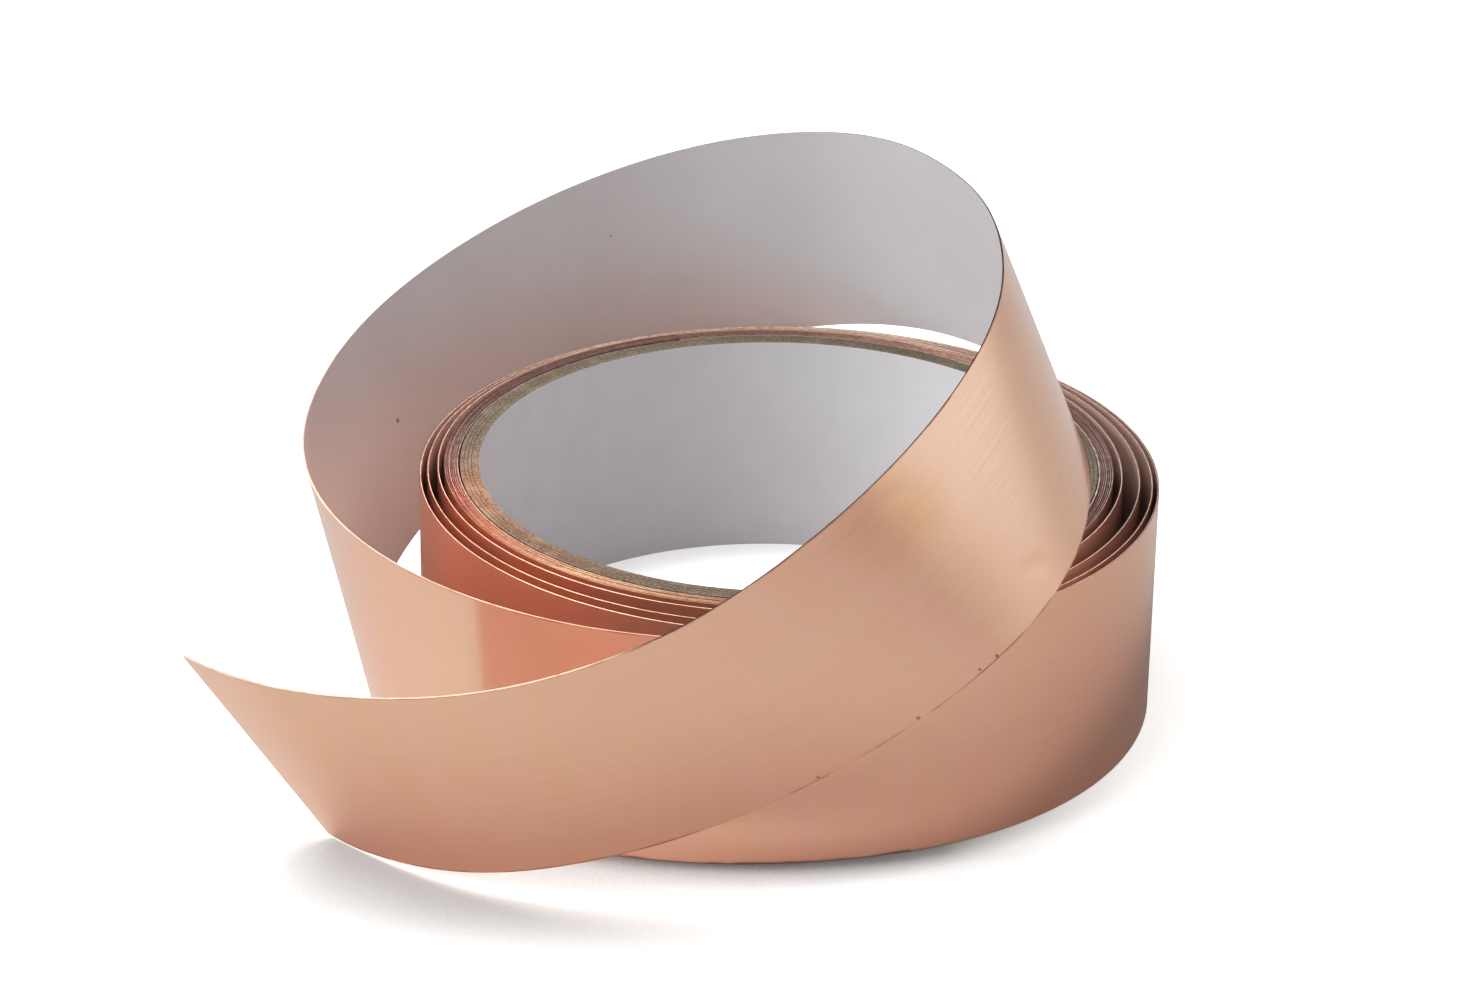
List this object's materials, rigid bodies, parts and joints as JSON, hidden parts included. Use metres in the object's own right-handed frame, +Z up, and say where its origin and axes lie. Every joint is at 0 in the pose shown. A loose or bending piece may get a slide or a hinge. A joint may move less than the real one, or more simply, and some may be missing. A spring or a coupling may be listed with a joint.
{
  "type": "copper foil tape roll",
  "caption": "Roll of adhesive-backed copper foil tape on a paper core, its outer turns sprung loose and its free end looped over the roll and cut off in front.",
  "frame": {"origin": "on the core's axis, at the core's lower end, which is the surface the roll stands on", "axes": "+Z up along the core's axis; the tape leaves the roll at the front, -Y, and its cut end is at the front left"},
  "size_m": [0.1184, 0.1217, 0.0642],
  "materials": {
    "copper_foil": "satin rolled copper",
    "acrylic_adhesive": "clear tacky film",
    "release_paper": "smooth silicone-coated white paper",
    "core_white_paper": "smooth matt paper",
    "core_chipboard": "grey-brown cut board edge",
    "double_sided_tape": "translucent film"
  },
  "bodies": {
    "roll": {"core_white_ply": "core_white_paper", "core_board_ply_1": "core_chipboard", "core_board_ply_2": "core_chipboard", "core_board_ply_3": "core_chipboard", "core_board_ply_4": "core_chipboard", "starter_tab": "double_sided_tape", "tight_winding_foil": "copper_foil", "tight_winding_adhesive": "acrylic_adhesive", "tight_winding_liner": "release_paper"},
    "tape_tail": {"loose_turn_1_foil": "copper_foil", "loose_turn_1_adhesive": "acrylic_adhesive", "loose_turn_1_liner": "release_paper", "loose_turn_2_foil": "copper_foil", "loose_turn_2_adhesive": "acrylic_adhesive", "loose_turn_2_liner": "release_paper", "loose_turn_3_foil": "copper_foil", "loose_turn_3_adhesive": "acrylic_adhesive", "loose_turn_3_liner": "release_paper", "outer_half_turn_foil": "copper_foil", "outer_half_turn_adhesive": "acrylic_adhesive", "outer_half_turn_liner": "release_paper", "free_strip_foil": "copper_foil", "free_strip_adhesive": "acrylic_adhesive", "free_strip_liner": "release_paper"},
    "peel_tab": {"liner_peel_tab": "release_paper"}
  },
  "joints": [
    {"name": "coil_slip", "type": "hinge", "parent": "roll", "child": "tape_tail", "pos_m": [0, 0, 0.015], "axis": [0, 0, 1], "range_deg": [-30, 30]},
    {"name": "liner_peel", "type": "hinge", "parent": "tape_tail", "child": "peel_tab", "pos_m": [-0.0528, -0.05618, 0.01398], "axis": [0.4676, 0.1895, -0.8634], "range_deg": [0, 80]}
  ]
}
